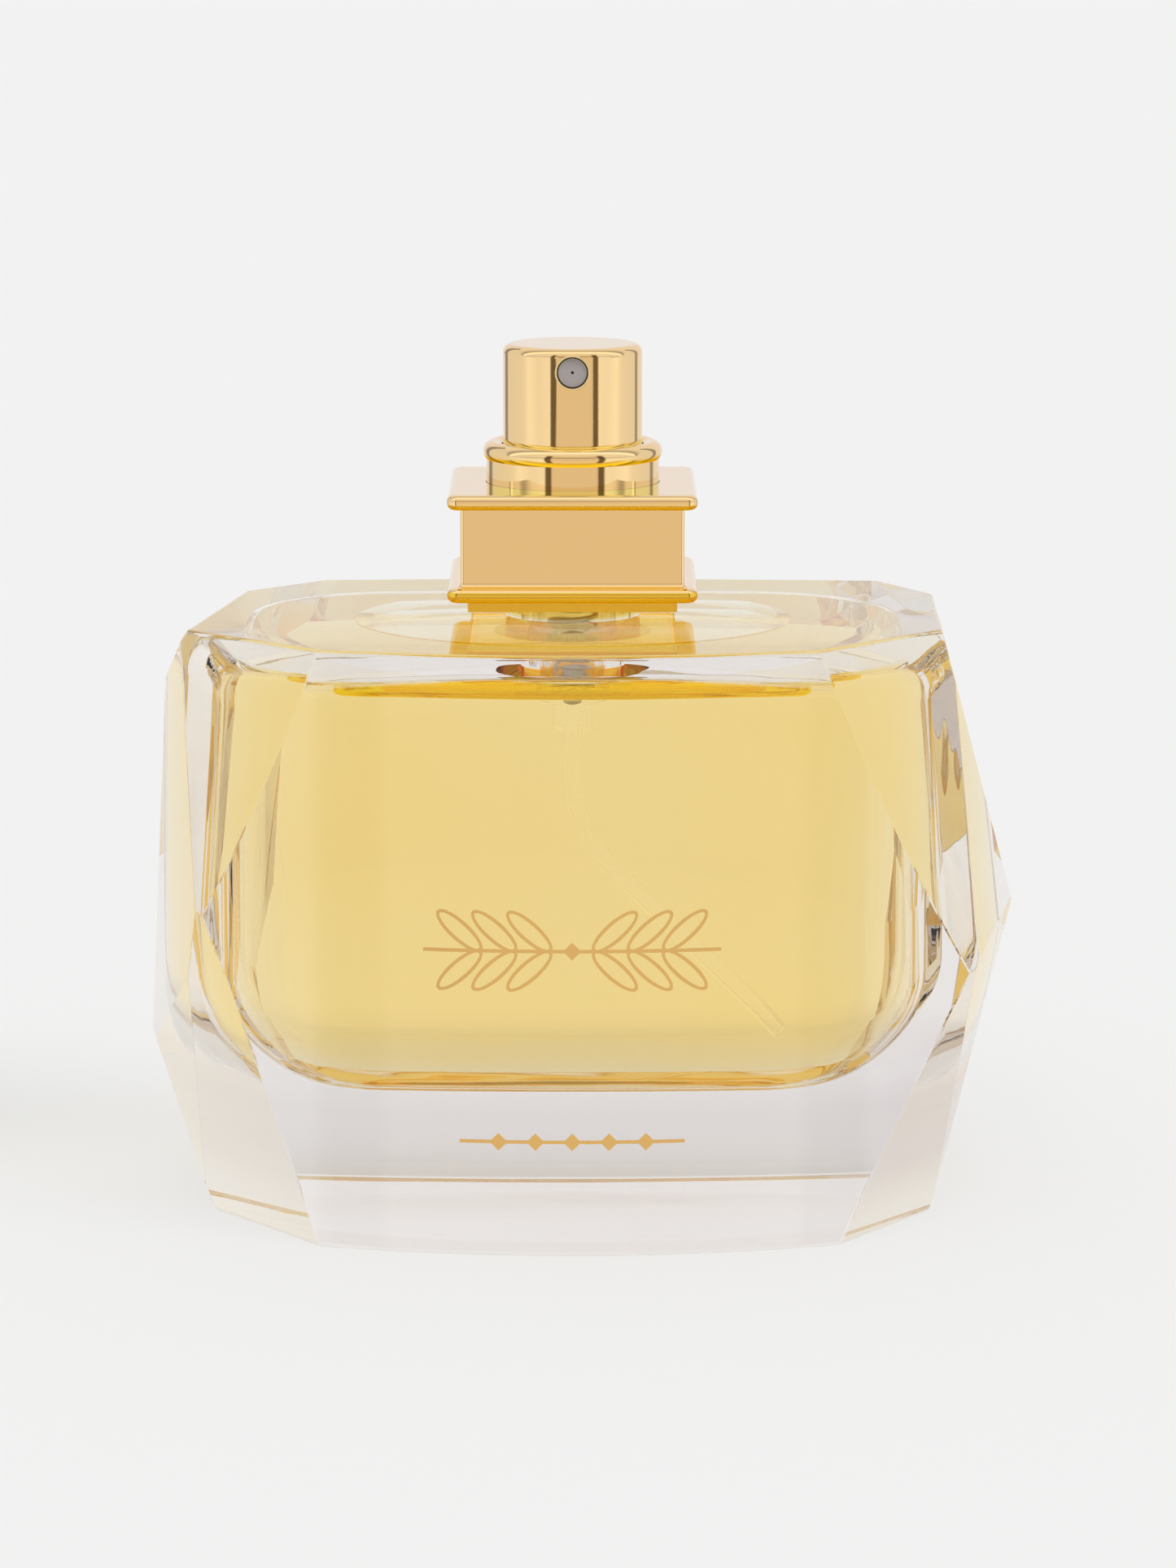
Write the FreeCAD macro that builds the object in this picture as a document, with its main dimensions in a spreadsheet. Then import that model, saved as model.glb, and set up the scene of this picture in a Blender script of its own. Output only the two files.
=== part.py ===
import FreeCAD, Part
import math
import os
import Sketcher
from FreeCAD import Placement, Rotation, Vector

# Faceted glass perfume bottle, about 100 ml, with a crimped fine-mist pump, a square gold collar
# and a round press actuator. Millimetres, +Z up. The pump axis is the Z axis, the table is z = 0
# and the front of the bottle faces -Y.

# Driving sizes in millimetres and degrees, grouped by sub-part.
SIZES = {
    # glass: outside
    "glass_height": 59.5, "facet_centre": 30, "front_radius": 82, "front_depth": 29,
    "edge_round": 0.5, "cutter_size": 160,
    # glass: inside
    "cavity_width": 66, "cavity_depth": 42, "cavity_shift": -0.5, "cavity_corner": 15,
    "cavity_floor": 15, "cavity_top": 57, "floor_round_side": 10, "floor_round_front": 3,
    "shoulder_round": 4, "dome_base": 52, "dome_half_width": 44, "dome_half_depth": 36,
    "fill_level": 54.2, "air_half_width": 22, "air_half_depth": 19, "air_edge": 1.4,
    "liquid_gap": 0.05,
    # neck
    "neck_bore": 4.6, "neck_shank": 6.8, "neck_bead": 7.5, "bead_bottom": 63.6, "neck_top": 67.5,
    "rim_break": 0.4,
    # foil prints on the front
    "print_thick": 0.04, "print_gap": 0.01, "print_line": 0.35,
    "sprig_height": 30.5, "sprig_half": 14.5, "leaf_length": 2.9, "leaf_width": 1.0,
    "leaf_tilt": 42, "leaf_start": 2, "leaf_step": 3.4,
    "base_line_height": 11.5, "base_line_width": 11, "lozenge_size": 1.25, "lozenge_step": 3.6,
    # seal and crimp
    "gasket_bore": 4.25, "gasket_radius": 7.4, "gasket_thick": 0.8,
    "ferrule_bore": 7.55, "ferrule_radius": 7.95, "ferrule_bottom": 62.75, "lip_top": 63.5,
    "lip_bore": 7.1, "ferrule_hole": 4.25, "disc_bottom": 69.85, "ferrule_top": 70.3,
    # pump housing
    "flange_radius": 6.6, "housing_flange_top": 69.1, "housing_radius": 4.15, "housing_bore": 3.2,
    "housing_end": 53.6, "tail_top": 52.4, "tail_radius": 1.7, "tail_end": 49, "socket_top": 51.5,
    "socket_bore": 0.88, "inlet_bore": 0.5, "seat_low": 52.6, "seat_high": 53.4,
    "ball_bore": 1.15, "lip_low": 54.9, "spring_seat": 55.2, "ball_lip": 0.7,
    # turret and stem seal
    "turret_flange_top": 69.8, "turret_radius": 4.2, "turret_top": 73.2, "turret_bore": 1.66,
    "turret_recess": 3, "recess_top": 71.2, "seal_bottom": 70.2, "seal_top": 71.15,
    "seal_bore": 1.62, "seal_radius": 2.95,
    # inlet ball
    "ball_radius": 0.85, "ball_height": 53.36,
    # plunger: stem, rod, piston
    "stem_radius": 1.6, "stem_bore": 0.83, "stem_bottom": 67.2, "stem_top": 81,
    "stem_flange": 2.7, "stem_flange_low": 69.2, "stem_flange_high": 70.15,
    "rod_radius": 0.8, "rod_flat": 0.55, "rod_top": 69, "rod_head": 2.9, "rod_head_low": 61.9,
    "rod_head_high": 62.7, "rod_cone_top": 63.3, "rod_cone": 1.6, "rod_tail": 1.5,
    "rod_bottom": 59.8,
    "piston_low": 63.35, "piston_high": 66.6, "piston_radius": 3.17, "piston_waist": 2.8,
    "piston_lip": 0.7, "piston_bore": 0.86,
    # springs: mean coil radius, wire radius, number of turns
    "return_coil": 2.35, "return_wire": 0.25, "return_turns": 4.5, "return_top": 61.9,
    "small_coil": 2.15, "small_wire": 0.18, "small_turns": 3.5, "small_low": 66.65,
    "small_top": 69.15,
    # dip tube
    "tube_radius": 0.85, "tube_bore": 0.5, "tube_top": 51.4, "tube_bend_top": 44,
    "tube_bend_radius": 14, "tube_bend_angle": 42, "tube_leg": 22.6,
    # square collar: half widths and heights
    "plinth_half": 10.4, "plinth_low": 61.05, "plinth_high": 62.15,
    "bead_half": 12.4, "bead_high": 63.6, "block_half": 11.1, "block_high": 71.4,
    "collar_top": 72.9, "bead_corner": 1.2, "block_corner": 0.4, "bead_round": 0.7,
    "cove_round": 0.5,
    "collar_inside": 10.1, "collar_ceiling": 72, "collar_hole": 8.75,
    # collar liner
    "liner_half": 10.05, "liner_bore": 8, "liner_low": 61.3, "liner_high": 70.9,
    # round ring above the collar
    "ring_radius": 8.7, "ring_bore": 7.15, "ring_flange": 9.6, "ring_low": 70.95,
    "ring_flange_high": 71.95, "ring_bead_height": 76, "ring_bead_mean": 7.95,
    "ring_bead_radius": 1.05,
    # actuator
    "cap_radius": 7, "cap_wall": 0.35, "cap_low": 75.3, "cap_high": 86.8, "cap_roof": 0.4,
    "cap_edge": 0.9, "cap_hole": 1.6, "nozzle_height": 84.5,
    "core_radius": 6.6, "core_low": 75.6, "core_high": 86.35, "core_skirt": 5.4,
    "core_boss_low": 78, "core_socket": 1.63, "core_socket_top": 81.05, "core_duct": 0.6,
    "core_duct_top": 85.6, "cross_duct": 0.3, "cross_duct_height": 85.35,
    "recess_radius": 1.45, "recess_back": 4.2, "post_radius": 0.88, "post_front": 5.95,
    "insert_radius": 1.43, "insert_front": 6.6, "insert_back": 4.3, "insert_wall": 0.5,
    "insert_cup": 0.95, "orifice": 0.15,
}

# Gem facets as azimuth, tilt above the horizontal, and distance from the facet centre.
FACETS = {
    "front_upper_right": (-42.5, 11.8, 40.15), "front_upper_left": (-134.8, 10.3, 39.95),
    "front_lower_right": (-34.7, -15.8, 42.53), "front_lower_left": (-143, -11.2, 40.18),
    "right_upper": (-13.7, 7.6, 42.55), "right_sliver": (-11.3, -11.2, 42.63),
    "right_shoulder": (-0.9, 14.9, 43.17), "right_lower": (0, -17.2, 43.16),
    "left_upper": (-166.5, 0.7, 40.78), "left_sliver": (-162.3, -7.3, 41.47),
    "left_flank": (172, 5, 42.13), "left_bevel": (170.9, 35, 46.24),
    "left_lower": (180, -25, 45.25),
    "back_corner_right": (28.3, 8, 42.9), "back_corner_left": (136.2, 8, 39.11),
    "back_upper_left": (93.5, 5, 27.84), "back_upper_right": (86.7, 5, 27.65),
    "back_lower": (91, -14, 26.15),
    "back_foot_right": (34.2, -12, 41.65), "back_foot_left": (145.8, -12, 42.37),
}

doc = FreeCAD.newDocument("perfume_bottle")
dims = doc.addObject("Spreadsheet::Sheet", "dims")


def fill_sheet():
    """Write every driving size and facet into the sheet, one alias per row."""
    rows = list(SIZES.items())
    for facet, (azimuth, tilt, distance) in FACETS.items():
        rows += [(facet + "_azimuth", azimuth), (facet + "_tilt", tilt),
                 (facet + "_distance", distance)]
    for row, (alias, size) in enumerate(rows, start=1):
        dims.set(f"A{row}", alias)
        dims.set(f"B{row}", str(size))
        dims.setAlias(f"B{row}", alias)
    doc.recompute()


def value(text):
    """Number behind a sum of size names and numbers, such as 'cap_radius - cap_wall'."""
    total, sign = 0.0, 1
    for word in text.split():
        if word in ("+", "-"):
            sign = 1 if word == "+" else -1
        else:
            total += sign * (SIZES[word] if word in SIZES else float(word))
            sign = 1
    return total


def formula(text):
    """The same sum as a sheet expression."""
    words = ["dims." + word if word in SIZES else word for word in text.split()]
    return f"({' '.join(words)})"


def bind(feature, **sizes):
    """Bind properties of a feature to sums of size names."""
    for name, text in sizes.items():
        feature.setExpression(name, formula(text))


def new_body(label):
    body = doc.addObject("PartDesign::Body", label)
    body.Label = label
    return body


def origin_plane(body, role):
    return next(item for item in body.Origin.OriginFeatures if item.Role == role)


def new_sketch(body, name, role):
    sketch = body.newObject("Sketcher::SketchObject", name)
    sketch.AttachmentSupport = (origin_plane(body, role), [""])
    sketch.MapMode = "FlatFace"
    return sketch


def pin_point(sketch, geometry, position, across, up):
    """Hold a sketch point at two distances from the origin, both bound to the sheet."""
    for kind, text in (("DistanceX", across), ("DistanceY", up)):
        if value(text) == 0:
            axis = -2 if kind == "DistanceX" else -1
            sketch.addConstraint(Sketcher.Constraint("PointOnObject", geometry, position, axis))
        else:
            index = sketch.addConstraint(
                Sketcher.Constraint(kind, -1, 1, geometry, position, value(text)))
            sketch.setExpression(f"Constraints[{index}]", formula(text))


def polygon_sketch(body, name, corners, role="XZ_Plane"):
    """Closed polygon whose corners are pairs of size sums."""
    sketch = new_sketch(body, name, role)
    points = [Vector(value(across), value(up), 0) for across, up in corners]
    count = len(points)
    for index in range(count):
        sketch.addGeometry(Part.LineSegment(points[index], points[(index + 1) % count]))
    for index in range(count):
        sketch.addConstraint(
            Sketcher.Constraint("Coincident", index, 2, (index + 1) % count, 1))
    for index, (across, up) in enumerate(corners):
        pin_point(sketch, index, 1, across, up)
    return sketch


def turned(label, corners):
    """Body made by turning a polygon of (radius, height) corners about the Z axis."""
    body = new_body(label)
    sketch = polygon_sketch(body, label + "_profile", corners)
    turn = body.newObject("PartDesign::Revolution", label + "_turn")
    turn.Profile = sketch
    turn.ReferenceAxis = (sketch, ["V_Axis"])
    turn.Angle = 360
    doc.recompute()
    return body


def primitive(body, kind, name, height="0", **sizes):
    """Primitive feature of a body, standing on the level `height`, with bound sizes."""
    feature = body.newObject("PartDesign::" + kind, name)
    feature.AttachmentSupport = (origin_plane(body, "XY_Plane"), [""])
    feature.MapMode = "FlatFace"
    bind(feature, **sizes)
    feature.setExpression("AttachmentOffset.Base.z", formula(height))
    return feature


def square_block(body, name, kind, half, low, high):
    """Square block centred on the axis, from its half width and its two heights."""
    block = primitive(body, kind, name, height=low)
    block.setExpression("Height", f"{formula(high)} - {formula(low)}")
    for side in ("Length", "Width"):
        block.setExpression(side, f"2 * {formula(half)}")
    for axis in ("x", "y"):
        block.setExpression(f"AttachmentOffset.Base.{axis}", f"-{formula(half)}")
    return block


def rounded(body, name, edges, radius):
    """Fillet of the chosen edges of the body's last feature."""
    base = body.Tip
    fillet = body.newObject("PartDesign::Fillet", name)
    fillet.Base = (base, edges)
    bind(fillet, Radius=radius)
    doc.recompute()
    return fillet


def edges_where(shape, test):
    """Names of the edges whose bounding box passes a test."""
    return [f"Edge{number}" for number, edge in enumerate(shape.Edges, start=1)
            if test(edge.BoundBox)]


def level_edges(shape, height):
    """Names of the edges that lie at one height."""
    return edges_where(shape, lambda box: abs(box.ZMin - height) < 1e-3
                       and abs(box.ZMax - height) < 1e-3)


def combine(kind, name, base, tool):
    """Part::Cut or Part::Common of two objects."""
    result = doc.addObject("Part::" + kind, name)
    result.Base, result.Tool = base, tool
    result.Label = name
    return result


def fused(name, shapes):
    result = doc.addObject("Part::MultiFuse", name)
    result.Shapes = shapes
    result.Label = name
    return result


def round_bar(name, radius, height, base, yaw=0, pitch=0):
    """Part::Cylinder with bound sizes; base is three sums, pitch 90 lays it along yaw."""
    bar = doc.addObject("Part::Cylinder", name)
    bind(bar, Radius=radius, Height=height)
    bar.Placement = Placement(Vector(*(value(text) for text in base)), Rotation(yaw, pitch, 0))
    for axis, text in zip("xyz", base):
        bar.setExpression(f"Placement.Base.{axis}", formula(text))
    return bar


def coil(label, mean, wire, turns, low, high):
    """Helical spring whose wire lies between two heights."""
    spine = doc.addObject("Part::Helix", label + "_spine")
    bind(spine, Radius=mean)
    spine.setExpression("Height", f"{formula(high)} - {formula(low)} - 2 * {formula(wire)}")
    spine.setExpression("Pitch", f"{label}_spine.Height / {formula(turns)}")
    section = doc.addObject("Part::Circle", label + "_wire")
    bind(section, Radius=wire)
    section.Placement = Placement(Vector(), Rotation(Vector(1, 0, 0), 90))
    section.setExpression("Placement.Base.x", formula(mean))
    doc.recompute()
    spring = doc.addObject("Part::Sweep", label)
    spring.Sections = [section]
    spring.Spine = (spine, ["Edge1"])
    spring.Solid, spring.Frenet = True, True
    spring.setExpression("Placement.Base.z", f"{formula(low)} + {formula(wire)}")
    spring.Label = label
    return spring


# ---- glass bottle ----------------------------------------------------------------------------

def facet_cutter(facet):
    """Big disc that cuts everything outside one gem facet."""
    disc = doc.addObject("Part::Cylinder", "cut_" + facet)
    bind(disc, Radius="cutter_size", Height="cutter_size")
    across = f"dims.{facet}_distance * cos(dims.{facet}_tilt * 1deg)"
    turn = f"(dims.{facet}_azimuth * 1deg)"
    disc.setExpression("Placement", (
        f"create(<<placement>>; create(<<vector>>; {across} * cos({turn}); "
        f"{across} * sin({turn}); "
        f"dims.facet_centre + dims.{facet}_distance * sin(dims.{facet}_tilt * 1deg)); "
        f"create(<<rotation>>; dims.{facet}_azimuth; 90 - dims.{facet}_tilt; 0))"))
    return disc


def gem():
    """Solid outside of the bottle: a curved front cut by flat facets."""
    blank = round_bar("gem_blank", "front_radius", "glass_height",
                      ("0", "front_radius - front_depth", "0"))
    cut = combine("Cut", "gem_facets", blank,
                  fused("gem_cutters", [facet_cutter(facet) for facet in FACETS]))
    doc.recompute()
    soft = doc.addObject("Part::Fillet", "gem_soft")
    soft.Base = cut
    radius = SIZES["edge_round"]
    soft.Edges = [(number, radius, radius) for number in range(1, len(cut.Shape.Edges) + 1)]
    doc.recompute()
    return soft


def neck():
    """Glass neck with the bead that the pump is crimped on."""
    return turned("neck_glass", [
        ("neck_bore - 0.5", "cavity_top"), ("neck_shank", "cavity_top"),
        ("neck_shank", "bead_bottom - rim_break"), ("neck_bead - rim_break", "bead_bottom"),
        ("neck_bead", "bead_bottom + rim_break"), ("neck_bead", "neck_top - rim_break"),
        ("neck_bead - rim_break", "neck_top"), ("neck_bore - 0.5", "neck_top")])


def room_plan(body, gap):
    """Rounded rectangle in plan, centred on the cavity and made smaller all round by a gap."""
    plan = new_sketch(body, body.Label + "_plan", "XY_Plane")
    plan.setExpression("AttachmentOffset.Base.z", formula(f"cavity_floor + {gap}"))
    half_x = value("cavity_width") / 2 - value(gap)
    half_y = value("cavity_depth") / 2 - value(gap)
    shift = value("cavity_shift")
    corner = value("cavity_corner")
    left, right, front, back = -half_x, half_x, shift - half_y, shift + half_y
    sides = [((left + corner, front), (right - corner, front)),
             ((right, front + corner), (right, back - corner)),
             ((right - corner, back), (left + corner, back)),
             ((left, back - corner), (left, front + corner))]
    for start, end in sides:
        plan.addGeometry(Part.LineSegment(Vector(*start, 0), Vector(*end, 0)))
    quarters = [((right - corner, front + corner), 270), ((right - corner, back - corner), 0),
                ((left + corner, back - corner), 90), ((left + corner, front + corner), 180)]
    for (x, y), start in quarters:
        circle = Part.Circle(Vector(x, y, 0), Vector(0, 0, 1), corner)
        plan.addGeometry(
            Part.ArcOfCircle(circle, math.radians(start), math.radians(start + 90)))
    for side in range(4):
        plan.addConstraint(Sketcher.Constraint("Tangent", side, 2, 4 + side, 1))
        plan.addConstraint(Sketcher.Constraint("Tangent", 4 + side, 2, (side + 1) % 4, 1))
    for side, kind in enumerate(("Horizontal", "Vertical", "Horizontal", "Vertical")):
        plan.addConstraint(Sketcher.Constraint(kind, side))
    for arc in (5, 6, 7):
        plan.addConstraint(Sketcher.Constraint("Equal", 4, arc))
    bound = [
        (Sketcher.Constraint("Radius", 4, corner), formula("cavity_corner")),
        (Sketcher.Constraint("DistanceX", -1, 1, 1, 1, right),
         f"dims.cavity_width / 2 - {formula(gap)}"),
        (Sketcher.Constraint("DistanceX", -1, 1, 3, 1, left),
         f"{formula(gap)} - dims.cavity_width / 2"),
        (Sketcher.Constraint("DistanceY", -1, 1, 2, 1, back),
         f"dims.cavity_shift + dims.cavity_depth / 2 - {formula(gap)}"),
        (Sketcher.Constraint("DistanceY", -1, 1, 0, 1, front),
         f"dims.cavity_shift - dims.cavity_depth / 2 + {formula(gap)}"),
    ]
    for constraint, expression in bound:
        index = plan.addConstraint(constraint)
        plan.setExpression(f"Constraints[{index}]", expression)
    return plan


def above_dome(label, gap):
    """Everything above the shallow dome that roofs the inside of the bottle."""
    dome = doc.addObject("Part::Ellipsoid", label + "_dome")
    bind(dome, Radius1=f"cavity_top - dome_base - {gap}", Radius2=f"dome_half_width - {gap}",
         Radius3=f"dome_half_depth - {gap}")
    dome.Angle1, dome.Angle2, dome.Angle3 = -90, 90, 360
    dome.setExpression("Placement.Base.y", formula("cavity_shift"))
    dome.setExpression("Placement.Base.z", formula("dome_base"))
    slab = round_bar(label + "_slab", "front_radius", "front_radius", ("0", "0", "dome_base"))
    return combine("Cut", label + "_roof", slab, dome)


def softened_room(label, base, floor):
    """Fillets of a room: wide at the foot of its sides, tight front and back, and a shoulder."""
    side, front = value("floor_round_side"), value("floor_round_front")
    shoulder = value("shoulder_round")
    middle = value("cavity_shift")
    straight = value("cavity_depth") / 2 - value("cavity_corner") + 0.5

    def foot_radius(vertex):
        return side if abs(vertex.Point.y - middle) < straight else front

    edges = []
    for number, edge in enumerate(base.Shape.Edges, start=1):
        box = edge.BoundBox
        if box.ZMax < floor + 1e-3:
            first, last = edge.firstVertex(), edge.lastVertex()
            edges.append((number, foot_radius(first), foot_radius(last)))
        elif box.ZMin > value("dome_base") and not (box.YLength < 1e-3 and box.XLength > 5):
            edges.append((number, shoulder, shoulder))
    soft = doc.addObject("Part::Fillet", label + "_soft")
    soft.Base = base
    soft.Edges = edges
    doc.recompute()
    return soft


def room(label, gap):
    """Inside of the bottle, made smaller all round by a gap."""
    body = new_body(label)
    pad = body.newObject("PartDesign::Pad", label + "_pad")
    pad.Profile = room_plan(body, gap)
    bind(pad, Length="cavity_top - cavity_floor")
    block = combine("Cut", label + "_block", body, above_dome(label, gap))
    doc.recompute()
    return softened_room(label, block, value(f"cavity_floor + {gap}"))


def neck_bore():
    """Bore of the neck, flared into the dome."""
    return turned("bore", [
        ("0", "dome_base"), ("neck_bore", "dome_base"), ("neck_bore", "neck_top + 1"),
        ("0", "neck_top + 1")])


def glass_bottle():
    return combine("Cut", "glass_bottle", fused("gem_and_neck", [gem(), neck()]),
                   fused("glass_hollow", [room("cavity", "0"), neck_bore()]))


def swept_tube(label, rings):
    """Dip tube shape: rings of bound radius swept straight down, round a bend, then straight."""
    body = new_body(label)
    path = new_sketch(body, label + "_path", "XZ_Plane")
    top, bend_top = value("tube_top"), value("tube_bend_top")
    radius, leg = value("tube_bend_radius"), value("tube_leg")
    bend = math.radians(value("tube_bend_angle"))
    foot = Vector(radius * (1 - math.cos(bend)), bend_top - radius * math.sin(bend), 0)
    path.addGeometry(Part.LineSegment(Vector(0, top, 0), Vector(0, bend_top, 0)))
    circle = Part.Circle(Vector(radius, bend_top, 0), Vector(0, 0, 1), radius)
    path.addGeometry(Part.ArcOfCircle(circle, math.pi, math.pi + bend))
    path.addGeometry(Part.LineSegment(
        foot, foot + Vector(math.sin(bend), -math.cos(bend), 0) * leg))
    pin_point(path, 0, 1, "0", "tube_top")
    pin_point(path, 0, 2, "0", "tube_bend_top")
    path.addConstraint(Sketcher.Constraint("Tangent", 0, 2, 1, 1))
    path.addConstraint(Sketcher.Constraint("Tangent", 1, 2, 2, 1))
    for constraint, expression in (
            (Sketcher.Constraint("Radius", 1, radius), "dims.tube_bend_radius"),
            (Sketcher.Constraint("Angle", 1, bend), "dims.tube_bend_angle * 1deg"),
            (Sketcher.Constraint("Distance", 2, leg), "dims.tube_leg")):
        index = path.addConstraint(constraint)
        path.setExpression(f"Constraints[{index}]", expression)
    section = new_sketch(body, label + "_section", "XY_Plane")
    section.setExpression("AttachmentOffset.Base.z", formula("tube_top"))
    for number, ring in enumerate(rings):
        section.addGeometry(Part.Circle(Vector(), Vector(0, 0, 1), value(ring)))
        section.addConstraint(Sketcher.Constraint("Coincident", number, 3, -1, 1))
        index = section.addConstraint(Sketcher.Constraint("Radius", number, value(ring)))
        section.setExpression(f"Constraints[{index}]", formula(ring))
    doc.recompute()
    pipe = body.newObject("PartDesign::AdditivePipe", label + "_pipe")
    pipe.Profile = section
    pipe.Spine = (path, ["Edge1", "Edge2", "Edge3"])
    doc.recompute()
    return body


def air_space():
    """Flat-bottomed oval air space that is left under the roof when the bottle is full."""
    outline = doc.addObject("Part::Ellipse", "air_outline")
    bind(outline, MajorRadius="air_half_width", MinorRadius="air_half_depth")
    outline.setExpression("Placement.Base.y", formula("cavity_shift"))
    outline.setExpression("Placement.Base.z", formula("fill_level"))
    block = doc.addObject("Part::Extrusion", "air_block")
    block.Base, block.Dir, block.DirMode, block.Solid = outline, Vector(0, 0, 1), "Custom", True
    bind(block, LengthFwd="neck_top - fill_level")
    doc.recompute()
    space = doc.addObject("Part::Fillet", "air_space")
    space.Base = block
    radius = value("air_edge")
    foot = level_edges(block.Shape, value("fill_level"))
    space.Edges = [(int(name[len("Edge"):]), radius, radius) for name in foot]
    doc.recompute()
    return space


def perfume():
    """Liquid: the room inside the glass less the air space, the pump and the dip tube."""
    pump_space = turned("pump_space", [
        ("0", "neck_top"), ("housing_radius + liquid_gap", "neck_top"),
        ("housing_radius + liquid_gap", "housing_end - liquid_gap"),
        ("tail_radius + liquid_gap", "tail_top - liquid_gap"),
        ("tail_radius + liquid_gap", "tail_end - liquid_gap"), ("0", "tail_end - liquid_gap")])
    tube_space = swept_tube("tube_space", ["tube_radius + liquid_gap"])
    return combine("Cut", "perfume", room("liquid", "liquid_gap"),
                   fused("liquid_voids", [air_space(), pump_space, tube_space]))


# ---- foil prints -----------------------------------------------------------------------------

def foil_shell():
    """Thin skin just in front of the curved glass."""
    centre = ("0", "front_radius - front_depth", "0")
    outer = round_bar("foil_outside", "front_radius + print_gap + print_thick",
                      "glass_height", centre)
    inner = round_bar("foil_inside", "front_radius + print_gap", "glass_height", centre)
    return combine("Cut", "foil_shell", outer, inner)


def stencil_leaf(name, side, rise, place):
    """Oval outline band leaning out from the sprig's stem, as a solid along Y."""
    tilt = rise * side * value("leaf_tilt")
    root = f"({side} * (dims.leaf_start + {place} * dims.leaf_step))"
    ovals = []
    for suffix, inset in (("_outer", "0"), ("_inner", "print_line")):
        oval = doc.addObject("Part::Ellipse", name + suffix)
        bind(oval, MajorRadius=f"leaf_length - {inset}", MinorRadius=f"leaf_width - {inset}")
        oval.Placement = Placement(Vector(), Rotation(Vector(0, 1, 0), -tilt)
                                   * Rotation(Vector(1, 0, 0), 90))
        reach = "dims.leaf_length * {}(dims.leaf_tilt * 1deg)"
        oval.setExpression("Placement.Base.x", f"{root} + {side} * {reach.format('cos')}")
        oval.setExpression("Placement.Base.z",
                           f"dims.sprig_height + {rise} * {reach.format('sin')}")
        block = doc.addObject("Part::Extrusion", name + suffix + "_block")
        block.Base = oval
        block.DirMode = "Custom"
        block.Dir = Vector(0, -1, 0)
        block.setExpression("LengthFwd", "dims.front_radius")
        block.Solid = True
        ovals.append(block)
    return combine("Cut", name, *ovals)


def stencil_bar(name, half_width, height, thick):
    """Flat bar standing in front of the bottle."""
    bar = doc.addObject("Part::Box", name)
    bar.setExpression("Length", f"2 * {formula(half_width)}")
    bind(bar, Width="front_radius", Height=thick)
    bar.setExpression("Placement.Base.x", f"-{formula(half_width)}")
    bar.setExpression("Placement.Base.y", f"-{formula('front_radius')}")
    bar.setExpression("Placement.Base.z", f"{formula(height)} - {formula(thick)} / 2")
    return bar


def lozenge(name, across, height):
    """Square turned on its corner, standing in front of the bottle."""
    block = doc.addObject("Part::Box", name)
    bind(block, Length="lozenge_size", Width="front_radius", Height="lozenge_size")
    block.Placement = Placement(Vector(), Rotation(Vector(0, 1, 0), 45))
    block.setExpression("Placement.Base.x", f"{across} - dims.lozenge_size * sqrt(0.5)")
    block.setExpression("Placement.Base.y", f"-{formula('front_radius')}")
    block.setExpression("Placement.Base.z", formula(height))
    return block


def sprig_print():
    """Leafy sprig across the front: a stem, three pairs of leaves a side and a centre lozenge."""
    leaves = [stencil_leaf(f"leaf_{side + 1}{rise + 1}{place}", side, rise, place)
              for side in (-1, 1) for rise in (-1, 1) for place in range(3)]
    stem = stencil_bar("sprig_stem", "sprig_half", "sprig_height", "print_line")
    centre = lozenge("sprig_centre", "0", "sprig_height")
    return combine("Common", "sprig_print", foil_shell(),
                   fused("sprig_stencil", leaves + [stem, centre]))


def base_print():
    """Row of lozenges threaded on a line, low on the front."""
    row = [lozenge(f"lozenge_{step + 2}", f"{step} * dims.lozenge_step", "base_line_height")
           for step in range(-2, 3)]
    line = stencil_bar("base_line", "base_line_width", "base_line_height", "print_line")
    return combine("Common", "base_print", doc.getObject("foil_shell"),
                   fused("base_stencil", row + [line]))


# ---- pump ------------------------------------------------------------------------------------

def crimp_parts():
    turned("neck_gasket", [
        ("gasket_bore", "neck_top"), ("gasket_radius", "neck_top"),
        ("gasket_radius", "neck_top + gasket_thick"),
        ("gasket_bore", "neck_top + gasket_thick")])
    turned("crimp_ferrule", [
        ("lip_bore", "ferrule_bottom"), ("ferrule_radius", "ferrule_bottom"),
        ("ferrule_radius", "ferrule_top"), ("ferrule_hole", "ferrule_top"),
        ("ferrule_hole", "disc_bottom"), ("ferrule_bore", "disc_bottom"),
        ("ferrule_bore", "lip_top"), ("lip_bore", "lip_top")])


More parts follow.
